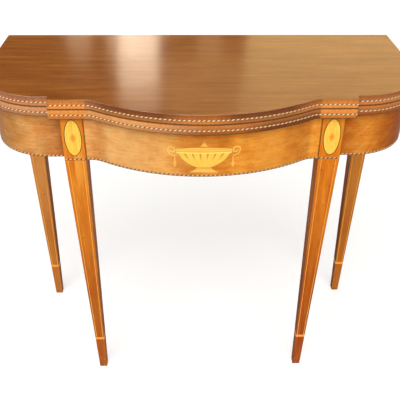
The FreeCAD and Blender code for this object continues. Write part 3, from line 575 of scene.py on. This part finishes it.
def apron_shade(g, colour):
    """Figured veneer, with painted shade in the right cove and the middle, painted light beside the
    middle, darker by the legs, and painted shade on the corners."""
    x = g.axis(g.place(), "X")
    aside = g.math("ABSOLUTE", x)
    colour = apron_figure(g, colour, x)
    # Painted shade where the bow turns away from the light into the right cove
    right_cove_shade = g.times(
        g.fade(x, start=0.15, full=0.198), g.fade(x, start=0.214, full=0.205, share=0.55),
    )
    colour = g.stain(colour, right_cove_shade, COVE_SHADE_TINT)
    # Painted shade in the middle of the bow
    colour = g.stain(colour, g.fade(aside, start=0.10, full=0.03, share=0.9), MIDDLE_SHADE_TINT)
    # Painted light beside the middle, where the bow faces the light
    lit_left = g.hump(x, middle=-0.13, half=0.02, blur=0.06, share=0.3)
    colour = g.mix(lit_left, colour, PAINTED_LIGHT_LEFT)
    lit_right = g.hump(x, middle=0.13, half=0.01, blur=0.04, share=0.3)
    colour = g.mix(lit_right, colour, PAINTED_LIGHT_RIGHT)
    return apron_darkening_and_shade(g, colour, x, aside)


# Legs

LOW_LEG_SHADE_TINT = (0.55, 0.41, 0.21)
RIGHT_LEG_TINT = (0.88, 0.70, 0.12)
LEG_SPECK = tone(96, 46, 14)
DARKER_FOOT_END = tone(92, 48, 20)
PALE_CHIP = tone(232, 196, 150)
REAR_FACE_PAINTED_LIGHT = tone(255, 190, 118)


def leg_shade(g, colour):
    """Painted shade that deepens towards the floor, deeper on the right, specked, with a darker end
    and pale chips at the foot."""
    where = g.place()
    height = g.axis(where, "Z")
    # Painted shade that deepens towards the floor
    colour = g.stain(colour, g.fade(height, start=0.62, full=0.22), LOW_LEG_SHADE_TINT)
    on_right = g.fade(g.axis(where, "X"), start=-0.2, full=0.2, share=0.6)
    colour = g.stain(colour, on_right, RIGHT_LEG_TINT)
    specks = g.noise(where, scale=120.0, detail=1.0)
    colour = g.mix(g.fade(specks, start=0.74, full=0.78, share=0.7), colour, LEG_SPECK)
    # Darker at the very end of the foot
    colour = g.mix(g.fade(height, start=0.010, full=0.0, share=0.45), colour, DARKER_FOOT_END)
    chips = g.fade(g.noise(where, scale=240.0, detail=2.0), start=0.66, full=0.70, share=0.7)
    low = g.fade(height, start=0.05, full=0.015)
    return g.mix(g.times(chips, low), colour, PALE_CHIP)


def face_shade(g, colour):
    """The front faces of the legs: shaded as the sides, with painted light that makes the rear legs
    paler.
    """
    # Painted light that lifts the rear legs' faces out of the shade under the top
    rear = g.fade(g.axis(g.place(), "Y"), start=0.0, full=0.1, share=0.55)
    return leg_shade(g, g.mix(rear, colour, REAR_FACE_PAINTED_LIGHT))


# Inlay

INLAY_GLOSS = 0.25
INLAY_ROUGH = (0.30, 0.44)
SILK_SCALE = 26.0


def inlaid(g, colour, grain, relief=None):
    """Finish inlay with a thin polish over its grain, or over a given relief."""
    if relief is None:
        relief = g.bump(grain, GRAIN_DEPTH)
    return g.set(
        Base_Color=colour, Roughness=g.swing(grain, *INLAY_ROUGH), Normal=relief,
        Specular_IOR_Level=INLAY_GLOSS,
    )


DASH_PERIOD = 0.0087
DASH_SLANT = 1.25
DASH_SHARE = 0.52
DASH_BLUR = 0.05
FOOT_BLUR = 0.12
DASH_GRAIN = (8, 90, 1)


def dashes(name, base, height, foot, light_tones, dark_tones):
    """Patterned stringing: slanted light slips between dark ones, over a dark line at the foot
    that takes a share of the height."""
    g = Graph(name)
    where = g.run()
    up = g.axis(where, "Y")
    slanted = g.math("SUBTRACT", g.axis(where, "X"), g.times(up, DASH_SLANT))
    phase = g.math("FRACT", g.math("DIVIDE", slanted, DASH_PERIOD))
    half = DASH_SHARE / 2
    light_slip = g.fade(g.gap(phase, 0.5), half + DASH_BLUR, half - DASH_BLUR)
    rise = g.rise(up, base, height)
    inside = g.times(g.fade(rise, foot, foot + FOOT_BLUR), g.fade(rise, start=0.97, full=0.85))
    grain = g.noise(g.run(DASH_GRAIN), scale=60.0)
    light = g.ramp(grain, TWO_STOPS, light_tones)
    dark = g.ramp(grain, TWO_STOPS, dark_tones)
    return inlaid(g, g.mix(g.times(light_slip, inside), dark, light), grain)


def satinwood(name, stretch, *tones):
    """Light inlay with a silky grain."""
    g = Graph(name)
    silk = g.noise(g.place(stretch), SILK_SCALE, detail=4.0, roughness=0.6, distortion=0.6)
    return inlaid(g, g.ramp(silk, THREE_STOPS, tones), silk)


FLUTES = 7
NECK_SHARE = 0.24
SWELL_POWER = 0.62
LEAST_RISE = 0.001
BOWL_GRAIN = (11, 11, 2)
BOWL_TONES = (tone(244, 188, 66), tone(253, 208, 90))
GROOVE_TONE = tone(226, 158, 46)
NOTCH_TONE = tone(150, 112, 34)
LIP_TONE = tone(255, 226, 104)


def fluted_bowl(name):
    """The bowl of the urn: soft flutes that gather towards the foot, scorched dark at their upper
    ends, under a bright lip."""
    g = Graph(name)
    where = g.place()
    half = (BOWL_HIGH.x - BOWL_LOW.x) / 2
    rise = g.rise(g.axis(where, "Z"), BOWL_LOW.z, BOWL_HIGH.z - BOWL_LOW.z)
    swell = g.math("POWER", g.math("MAXIMUM", rise, LEAST_RISE), SWELL_POWER)
    reach = g.between(swell, half * NECK_SHARE, half)
    across = g.math("DIVIDE", g.axis(where, "X"), reach)
    phase = g.math("FRACT", g.times(g.math("ADD", across, 1.0), FLUTES / 2))
    from_middle = g.gap(phase, 0.5)
    silk = g.noise(g.place(BOWL_GRAIN), scale=30.0, detail=4.0)
    colour = g.ramp(silk, TWO_STOPS, BOWL_TONES)
    colour = g.mix(g.fade(from_middle, start=0.32, full=0.50, share=0.22), colour, GROOVE_TONE)
    notch = g.times(
        g.fade(from_middle, start=0.34, full=0.48, share=0.75),
        g.fade(rise, start=0.45, full=0.78), g.fade(rise, start=0.97, full=0.90),
    )
    colour = g.mix(notch, colour, NOTCH_TONE)
    colour = g.mix(g.fade(rise, start=0.90, full=0.94), colour, LIP_TONE)
    return inlaid(g, colour, silk, g.bump(from_middle, FLUTE_DEPTH))


URN_TONES = (tone(246, 180, 70), tone(253, 200, 92))
BURNT = tone(206, 124, 38)
# Pieces of the urn that are scorched, from one share of their height to another
BURNT_SHARES = {
    "urn_foot": (0.4, 1.2), "urn_rim": (0.5, -0.2),
    "urn_lid": (0.3, -0.3), "urn_finial": (0.3, 0.6),
}


def scorched(name, node, start, full):
    """A shaded piece of the urn, scorched between two shares of its height."""
    low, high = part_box(node)
    g = Graph(name)
    rise = g.rise(g.axis(g.place(), "Z"), low.z, high.z - low.z)
    silk = g.noise(g.place(ALONG_X), SILK_SCALE, detail=4.0, roughness=0.6, distortion=0.6)
    colour = g.ramp(silk, TWO_STOPS, URN_TONES)
    return inlaid(g, g.mix(g.fade(rise, start, full, share=0.85), colour, BURNT), silk)


OVAL_GRAIN = (14, 14, 1)
OVAL_TONES = (tone(242, 184, 58), tone(251, 203, 78), tone(255, 220, 104))
OVAL_LOW_TINT = (0.96, 0.86, 0.62)
OVAL_RATIO = 0.45
RAYS = 12
RAY_TONE = tone(206, 140, 40)
SPOT_WIDTH = 0.0052
SPOT_HEIGHT = 0.0090
SPOT_POWER = 1.4
SPOT_TONE = tone(238, 140, 38)


def oval_field(name, node):
    """A satinwood oval with a small shaded lozenge and fine lines that leave it."""
    low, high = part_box(node)
    middle = (low + high) / 2
    g = Graph(name)
    where = g.place()
    x = g.math("SUBTRACT", g.axis(where, "X"), middle.x)
    z = g.math("SUBTRACT", g.axis(where, "Z"), middle.z)
    silk = g.noise(g.place(OVAL_GRAIN), scale=30.0, detail=4.0, roughness=0.6, distortion=0.4)
    colour = g.ramp(silk, THREE_STOPS, OVAL_TONES)
    colour = g.stain(colour, g.fade(z, start=0.03, full=-0.04, share=0.5), OVAL_LOW_TINT)
    turn = g.math("ARCTAN2", x, z)
    rays = g.math("ABSOLUTE", g.math("SINE", g.times(turn, RAYS / 2)))
    wide = g.math("POWER", g.math("DIVIDE", x, OVAL_RATIO), 2.0)
    out = g.math("SQRT", g.math("ADD", wide, g.math("POWER", z, 2.0)))
    line = g.times(
        g.fade(rays, start=0.16, full=0.04, share=0.35), g.fade(out, start=0.030, full=0.012),
    )
    colour = g.mix(line, colour, RAY_TONE)
    across = g.math("POWER", g.math("DIVIDE", g.math("ABSOLUTE", x), SPOT_WIDTH), SPOT_POWER)
    along = g.math("POWER", g.math("DIVIDE", g.math("ABSOLUTE", z), SPOT_HEIGHT), SPOT_POWER)
    spot = g.fade(g.math("ADD", across, along), start=1.5, full=0.4, share=0.9)
    return inlaid(g, g.mix(spot, colour, SPOT_TONE), silk)


# Finishes, by the slot that the record gives each node

leaf_wood = top_wood("mahogany_top")
leaf_edge = edge_wood("mahogany_edge")
leaf_back = polished(
    "mahogany_back_edge", TOP_TONES, ALONG_X, gloss=0.1,
    figure=TOP_FIGURE, streak=0.45, shade=joint_shade,
)
leg_wood = polished(
    "mahogany_leg_face", (tone(206, 108, 22), tone(232, 138, 36), tone(244, 162, 62)), ALONG_Z,
    gloss=0.15, figure=6.0, streak=0.3, shade=face_shade,
)
# The sides and backs of the legs: a darker, duller copy of the face finish, as painted shade
leg_side_shaded_wood = polished(
    "mahogany_leg_side_shaded", (tone(172, 100, 44), tone(198, 122, 58), tone(214, 142, 76)), ALONG_Z,
    gloss=0.05, rough=0.5, figure=6.0, streak=0.3, shade=leg_shade,
)
veneer_wood = polished(
    "mahogany_veneer_face", (tone(253, 172, 94), tone(255, 195, 117), tone(255, 215, 150)),
    (3.0, 24.0, 1.0), gloss=0.06, by_run=True, figure=7.0, streak=0.34, shade=apron_shade,
)
pine = bare_wood("bare_pine", tone(150, 104, 58), tone(186, 138, 84), tone(206, 164, 110))
oak = bare_wood("bare_oak", tone(104, 68, 36), tone(140, 96, 54), tone(164, 120, 72))
light_line = satinwood(
    "satinwood_line", ALONG_Z, tone(232, 150, 56), tone(242, 166, 70), tone(250, 184, 90),
)
cuff_wood = satinwood(
    "satinwood_cuff", ALONG_X, tone(240, 142, 44), tone(250, 160, 56), tone(255, 178, 76),
)
shaded_wood = satinwood(
    "satinwood_shaded", ALONG_X, tone(240, 170, 66), tone(249, 190, 84), tone(254, 206, 108),
)
ebony = satinwood("ebonised_line", ALONG_Z, tone(52, 30, 14), tone(72, 42, 18), tone(92, 56, 26))
brass = metal("old_brass", tone(196, 160, 92), tone(132, 98, 50), rough=0.3)
iron = metal("old_iron", tone(110, 104, 98), tone(60, 54, 50), rough=0.45)
bowl_wood = fluted_bowl("urn_bowl_flutes")

FINISHES = {
    "mahogany_board": leaf_wood, "mahogany_leg": leg_wood, "mahogany_veneer": veneer_wood,
    "secondary_wood": pine, "hard_wood": oak, "light_inlay": light_line,
    "orange_inlay": shaded_wood, "dark_inlay": ebony, "brass": brass, "iron": iron,
}
# Patterned stringing: the share of its dark foot, the light slips and the dark ones
LEAF_DASHES = (
    0.05, (tone(238, 200, 142), tone(252, 222, 170)), (tone(112, 62, 28), tone(150, 88, 42)),
)
APRON_DASHES = (
    0.26, (tone(226, 178, 116), tone(244, 204, 146)), (tone(110, 60, 24), tone(140, 82, 36)),
)


def finish_of(node, slot):
    """The material of a node: its own, or else its slot's."""
    if node == "urn_bowl":
        return bowl_wood
    if node in BURNT_SHARES:
        return scorched(f"{node}_wood", node, *BURNT_SHARES[node])
    if node.endswith("_cuff"):
        return cuff_wood
    if node.endswith("_oval_field"):
        return oval_field(f"{node}_wood", node)
    if slot == "pattern_string":
        low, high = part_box(node)
        looks = LEAF_DASHES if "leaf" in node else APRON_DASHES
        return dashes(f"{node}_dashes", low.z, high.z - low.z, *looks)
    return FINISHES[slot]


for entry in frame["record"]["subparts"]:
    mesh = nodes[entry["node"]].data
    mesh.materials.clear()
    mesh.materials.append(finish_of(entry["node"], entry["material_slot"]))


# Faces that take another finish than the rest of their piece

FACING = 0.7


def second_finish(node, material, takes):
    """Give another material to the faces of a node whose normals are chosen."""
    mesh = nodes[node].data
    mesh.materials.append(material)
    for polygon in mesh.polygons:
        if takes(polygon.normal):
            polygon.material_index = len(mesh.materials) - 1


def faces_back(normal):
    """Whether a face looks to the back."""
    return normal.y > FACING


def faces_sideways(normal):
    """Whether a face looks to the front or an end."""
    return abs(normal.z) < FACING and not faces_back(normal)


def faces_off_front(normal):
    """Whether a face looks anywhere but to the front."""
    return normal.y > -FACING


for leaf in ("upper_leaf", "lower_leaf"):
    second_finish(leaf, leaf_edge, faces_sideways)
    second_finish(leaf, leaf_back, faces_back)
# The legs' sides and backs take the darker copy of their finish: painted shade
for leg in ("front_left_leg", "rear_left_leg", "front_right_leg", "rear_right_leg"):
    second_finish(leg, leg_side_shaded_wood, faces_off_front)


# Stage: a pale floor, a dim room, soft light from the front, and cards that the polish mirrors

FLOOR_HALF = 40.0
FLOOR_TONES = (grey(0.46), grey(0.48))
FLOOR_LIFT = 0.63

# The room's own light, and the elevations between which the white band above the floor fades out
ROOM_COLOUR = tone(255, 222, 180)
ROOM_LEVEL = 0.13
BAND_FULL = math.radians(4)
BAND_FADED = math.radians(11)

# Soft lights aim at the middle of the table: place, strength, width in degrees, seen in gloss
LIGHT_AIM = Vector((0.0, 0.0, 0.5))
LIGHTS = {
    "broad_soft_light": ((-0.35, -3.0, 3.3), 3.5, 60, True),
    "back_fill": ((0.6, 3.0, 1.4), 1.0, 40, False),
}

# What the top mirrors is seen from the camera's own mirror image below it
MIRROR_EYE = Vector((CAMERA_AT.x, CAMERA_AT.y, 2 * TOP_Z - CAMERA_AT.z))
CARD_DISTANCE = 30.0
# Cards: bearings and elevations in degrees from the mirrored eye, radiance and colour
CARDS = {
    "window": ((-6.0, -2.4), (15.0, 20.0), 6.0, (1.0, 0.83, 0.62)),
    "window_middle": ((-6.3, -2.4), (20.0, 23.5), 4.0, (1.0, 0.82, 0.58)),
    "window_head": ((-6.3, -2.4), (23.5, 28.0), 1.2, (1.0, 0.80, 0.55)),
    "window_side": ((-7.2, -6.0), (15.0, 20.0), 1.6, (1.0, 0.80, 0.55)),
    "side_window": ((-10.9, -8.55), (12.0, 19.0), 1.7, (1.0, 0.80, 0.56)),
    "side_window_foot": ((-10.6, -8.8), (19.0, 21.0), 0.7, (1.0, 0.78, 0.48)),
    "far_wall": ((5.8, 24.0), (12.0, 30.0), 1.68, (1.0, 0.77, 0.34)),
    "near_wall": ((1.4, 3.6), (12.0, 20.5), 0.8, (1.0, 0.74, 0.38)),
    "near_wall_foot": ((-1.6, 5.8), (20.5, 30.0), 0.85, (1.0, 0.70, 0.30)),
}


def make_floor():
    """A broad pale floor that looks white and keeps the shadow."""
    mesh = bpy.data.meshes.new("floor")
    signs = ((-1, -1), (1, -1), (1, 1), (-1, 1))
    mesh.from_pydata([(x * FLOOR_HALF, y * FLOOR_HALF, 0.0) for x, y in signs], [], [(0, 1, 2, 3)])
    floor = bpy.data.objects.new("floor", mesh)
    bpy.context.scene.collection.objects.link(floor)
    g = Graph("pale_floor")
    speckle = g.noise(g.place(), scale=3.0, detail=5.0)
    mesh.materials.append(g.set(
        Base_Color=g.ramp(speckle, TWO_STOPS, FLOOR_TONES),
        Roughness=0.9, Specular_IOR_Level=0.1,
        Emission_Color=WHITE, Emission_Strength=g.times(g.backdrop_rays(), FLOOR_LIFT),
    ))


def make_world():
    """A dim warm room, with a white band above the floor's far edge."""
    g = Graph("studio", "worlds", "Background")
    height = g.axis(g.add("TexCoord", {}, "Generated"), "Z")
    band = g.fade(height, math.sin(BAND_FADED), math.sin(BAND_FULL))
    band = g.times(band, g.backdrop_rays())
    bpy.context.scene.world = g.set(
        Color=g.mix(band, ROOM_COLOUR, WHITE), Strength=g.between(band, ROOM_LEVEL, 1.0),
    )


def lamp_holder(lamp, at, aim):
    """Hang a lamp at a place, out of the camera's sight, and turn it to its aim."""
    holder = bpy.data.objects.new(lamp.name, lamp)
    holder.location = at
    holder.rotation_euler = (aim - Vector(at)).to_track_quat("-Z", "Y").to_euler()
    holder.visible_camera = False
    bpy.context.scene.collection.objects.link(holder)
    return holder


def make_light(name, at, strength, width, in_gloss):
    """A soft light from far off, as wide as an angle in degrees."""
    lamp = bpy.data.lights.new(name, "SUN")
    lamp.energy = strength
    lamp.angle = math.radians(width)
    lamp_holder(lamp, at, LIGHT_AIM).visible_glossy = in_gloss


def make_card(name, azimuths, elevations, radiance, colour):
    """A glowing card behind the table, between two bearings and two elevations as the top
    mirrors them."""
    azimuth = math.radians(sum(azimuths) / 2)
    elevation = math.radians(sum(elevations) / 2)
    towards = Vector((
        math.sin(azimuth) * math.cos(elevation),
        math.cos(azimuth) * math.cos(elevation),
        math.sin(elevation),
    ))
    lamp = bpy.data.lights.new(name, "AREA")
    lamp.color = colour
    lamp.shape = "RECTANGLE"
    lamp.size = CARD_DISTANCE * math.radians(azimuths[1] - azimuths[0]) * math.cos(elevation)
    lamp.size_y = CARD_DISTANCE * math.radians(elevations[1] - elevations[0])
    lamp.energy = radiance * math.pi * lamp.size * lamp.size_y
    lamp_holder(lamp, MIRROR_EYE + towards * CARD_DISTANCE, MIRROR_EYE)


def make_camera():
    """A camera where the photographer stood."""
    forward = Vector((
        math.sin(CAMERA_YAW) * math.cos(CAMERA_PITCH),
        math.cos(CAMERA_YAW) * math.cos(CAMERA_PITCH),
        -math.sin(CAMERA_PITCH),
    ))
    level = Vector((math.cos(CAMERA_YAW), -math.sin(CAMERA_YAW), 0.0))
    upright = level.cross(forward)
    right = math.cos(CAMERA_ROLL) * level + math.sin(CAMERA_ROLL) * upright
    up = math.cos(CAMERA_ROLL) * upright - math.sin(CAMERA_ROLL) * level
    data = bpy.data.cameras.new("camera")
    data.sensor_width = SENSOR_MM
    data.lens = FOCAL_PIXELS / IMAGE_PIXELS * SENSOR_MM
    data.clip_start, data.clip_end = CAMERA_CLIP
    camera = bpy.data.objects.new("camera", data)
    turn = Matrix((right, up, -forward)).transposed()
    camera.matrix_world = Matrix.Translation(CAMERA_AT) @ turn.to_4x4()
    bpy.context.scene.collection.objects.link(camera)
    bpy.context.scene.camera = camera


make_floor()
make_world()
for name, looks in LIGHTS.items():
    make_light(name, *looks)
for name, looks in CARDS.items():
    make_card(name, *looks)
make_camera()
bpy.context.scene.view_settings.view_transform = "Standard"
